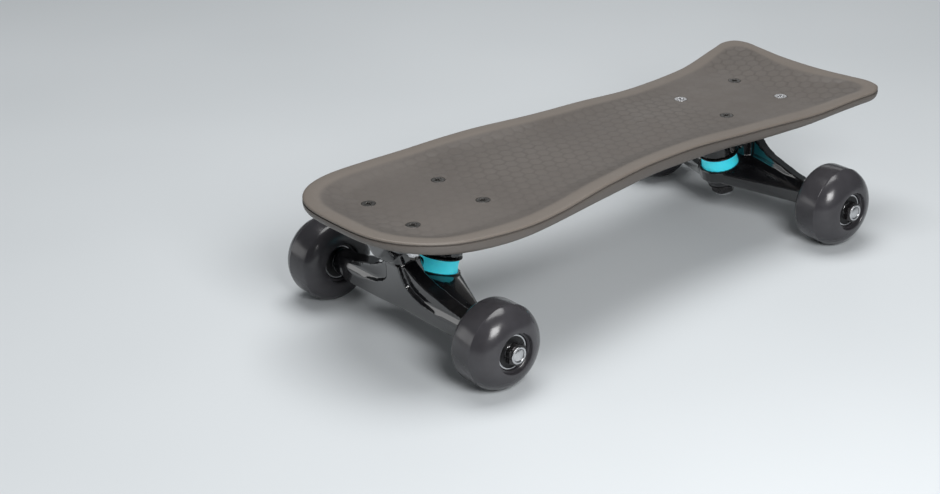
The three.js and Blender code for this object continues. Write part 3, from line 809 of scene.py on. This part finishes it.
def dome_points():
    """The outer side, from the tread's edge to the mouth of the bearing recess."""
    edge, start = WHEEL_RADIUS - 0.12, TREAD_OUTER + 0.15
    drop, rise = edge - RECESS_RADIUS, WHEEL_HALF - start
    arc = math.hypot(drop, rise) / (2 * math.sin(DOME_HALF_ANGLE))
    first = math.atan2(drop, rise) - DOME_HALF_ANGLE
    middle_radius, middle_z = edge - arc * math.cos(first), start - arc * math.sin(first)
    return [
        (middle_radius + arc * math.cos(angle), middle_z + arc * math.sin(angle))
        for angle in np.linspace(first, first + 2 * DOME_HALF_ANGLE, 22)
    ]


def inner_side_points():
    """The wheel's inner side, from the recess's lip to the tread's edge."""
    edge, round_off = WHEEL_RADIUS - 0.1, WHEEL_HALF - TREAD_INNER
    return [
        (INNER_LIP + (edge - INNER_LIP) * math.cos(angle), -TREAD_INNER - round_off * math.sin(angle))
        for angle in np.linspace(math.pi / 2, 0, 20)
    ]


def wheel_profile():
    """The wheel's section from the tread over the dome, through the bore and round the inner side."""
    outer_recess = [
        (12.75, WHEEL_HALF - 0.12), (12.5, WHEEL_HALF - 0.5), (12.45, 13), (12.2, 12.75),
        (BEARING_SEAT, 12.7),
    ]
    bore = [
        (BEARING_SEAT, SPACER_HALF), (8.5, SPACER_HALF), (8.5, -SPACER_HALF), (BEARING_SEAT, -SPACER_HALF),
    ]
    inner_recess = [
        (BEARING_SEAT, -12.7), (12.2, -12.75), (12.45, -13), (12.6, -WHEEL_HALF + 0.6),
        (13.3, -WHEEL_HALF + 0.05),
    ]
    outside = [(WHEEL_RADIUS, TREAD_OUTER), *dome_points(), *outer_recess]
    inside = [*inner_recess, *inner_side_points(), (WHEEL_RADIUS, -TREAD_INNER + 0.3)]
    return outside + bore + inside


def build_wheel(end, side):
    hub = at_hub(end, side)
    body = f"{end}_{side}_wheel_assembly"
    tyre = turned(f"{end}_{side}_urethane_wheel", wheel_profile(), WHEEL, hub, radius=0, segments=128)
    smooth(tyre.data, 28)
    settle(tyre, body, "wheel_urethane", f"{end}_{side}_wheel")
    for where, out in (("outer", 1), ("inner", -1)):
        name = f"{end}_{side}_{where}"
        build_bearing(f"{name}_bearing", body, hub, out * (SPACER_HALF + AIR + BEARING_WIDTH / 2))
        middle = out * (SPACER_HALF + 2 * AIR + BEARING_WIDTH + SPEED_WASHER_THICK / 2)
        section = ring(AXLE_BORE, 6.0, middle - 0.38, middle + 0.38)
        washer = turned(f"{name}_washer", section, ZINC, hub, radius=0.15, segments=64)
        settle(washer, body_of_hanger(end), "zinc_steel", f"{name}_speed_washer")
    build_axle_nut(end, side, hub)


def build_bearing(node, body, hub, middle):
    half = BEARING_WIDTH / 2
    low, high = middle - half, middle + half
    outer = turned(f"{node}_outer_race", ring(9.5, 10.85, low, high), RACE, hub, radius=0.45)
    inner = turned(f"{node}_inner_race", ring(4.1, 5.6, low, high), RACE, hub, radius=0.3)
    shield = [
        (5.5, low + 0.5), (9.6, low + 0.5), (9.6, high - 0.5),
        (8.9, high - 0.75), (6.3, high - 0.75), (5.5, high - 0.5),
    ]
    seal = turned(f"{node}_shield", shield, SHIELD, hub, radius=0.2)
    settle(join_objects([outer, inner]), body, "bearing_steel", node)
    settle(seal, body, "bearing_steel")


def build_axle_nut(end, side, hub):
    low = SPACER_HALF + 3 * AIR + BEARING_WIDTH + SPEED_WASHER_THICK
    high = low + 3.5
    name = f"{end}_{side}_nut"
    nut = hexagonal(name, 12.5, 7.25, AXLE_BORE, low, high, BLACK_STEEL, hub, chamfers=(False, True))
    collar = turned(f"{name}_collar", ring(AXLE_BORE, 5.3, high - 0.1, low + 4.55), ZINC, hub, radius=0.45)
    settle(nut, body_of_hanger(end), "black_steel", f"{end}_{side}_axle_nut")
    settle(collar, body_of_hanger(end), "zinc_steel")


def dress_hidden_nodes():
    """The CAD pieces that stay, inside the trucks and hubs, get the finished materials."""
    for name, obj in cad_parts.items():
        for ending, look in (("pivot_cup", CUP), ("spacer", ZINC)):
            if name.endswith(ending):
                obj.data.materials.clear()
                obj.data.materials.append(look)


# ---- studio ----
def camera():
    """The viewing angle of the photograph: about 25 degrees down, from the nose's left."""
    data = bpy.data.cameras.new("camera")
    data.lens = 73.81
    data.sensor_width = 36
    data.clip_start = 0.05
    obj = bpy.data.objects.new("camera", data)
    bpy.context.scene.collection.objects.link(obj)
    place = (0.79259, 0.80868, 0.53562)
    right = Vector((-0.75734, 0.65290, -0.01220))
    up = Vector((-0.28245, -0.31068, 0.90758))
    turn = Matrix((right, up, right.cross(up))).transposed().to_4x4()
    obj.matrix_world = Matrix.Translation(place) @ turn
    bpy.context.scene.camera = obj


def area_light(name, place, target, size, power):
    data = bpy.data.lights.new(name, "AREA")
    data.shape = "RECTANGLE"
    data.size, data.size_y = size
    data.energy = power
    obj = bpy.data.objects.new(name, data)
    bpy.context.scene.collection.objects.link(obj)
    aim = (Vector(target) - Vector(place)).to_track_quat("-Z", "Y")
    obj.matrix_world = Matrix.Translation(place) @ aim.to_matrix().to_4x4()


def build_floor():
    reach = 6.0
    mesh = bpy.data.meshes.new("floor")
    corners = [(-reach, -reach, 0), (reach, -reach, 0), (reach, reach, 0), (-reach, reach, 0)]
    mesh.from_pydata(corners, [], [(0, 1, 2, 3)])
    floor = bpy.data.objects.new("floor", mesh)
    bpy.context.scene.collection.objects.link(floor)
    m = Nodes("floor")
    m.mottle((0.62, 0.65, 0.67), (0.66, 0.69, 0.71), 3, 2)
    m.set(Roughness=0.6)
    mesh.materials.append(m.material)


def studio():
    world = bpy.data.worlds.new("studio")
    world.use_nodes = True
    background = world.node_tree.nodes["Background"]
    background.inputs["Color"].default_value = (0.80, 0.87, 0.92, 1)
    background.inputs["Strength"].default_value = 0.10
    bpy.context.scene.world = world
    area_light("overhead", (-0.1, -0.25, 1.45), (0, 0, 0.05), (1.1, 0.8), 15)
    area_light("near side", (0.36, 0.80, 0.645), (0.0, 0.08, 0.03), (0.42, 0.42), 8.5)
    area_light("nose side", (0.90, -0.78, 0.26), (0.15, 0.0, 0.03), (0.60, 0.40), 1.3)
    area_light("back", (-1.15, -1.10, 0.62), (0.0, 0.0, 0.08), (0.9, 0.4), 0.9)
    build_floor()
    bpy.context.scene.view_settings.view_transform = "Standard"


camera()
studio()
build_deck()
build_bolts()
for end in ENDS:
    build_truck(end)
    for side in SIDES:
        build_wheel(end, side)
dress_hidden_nodes()
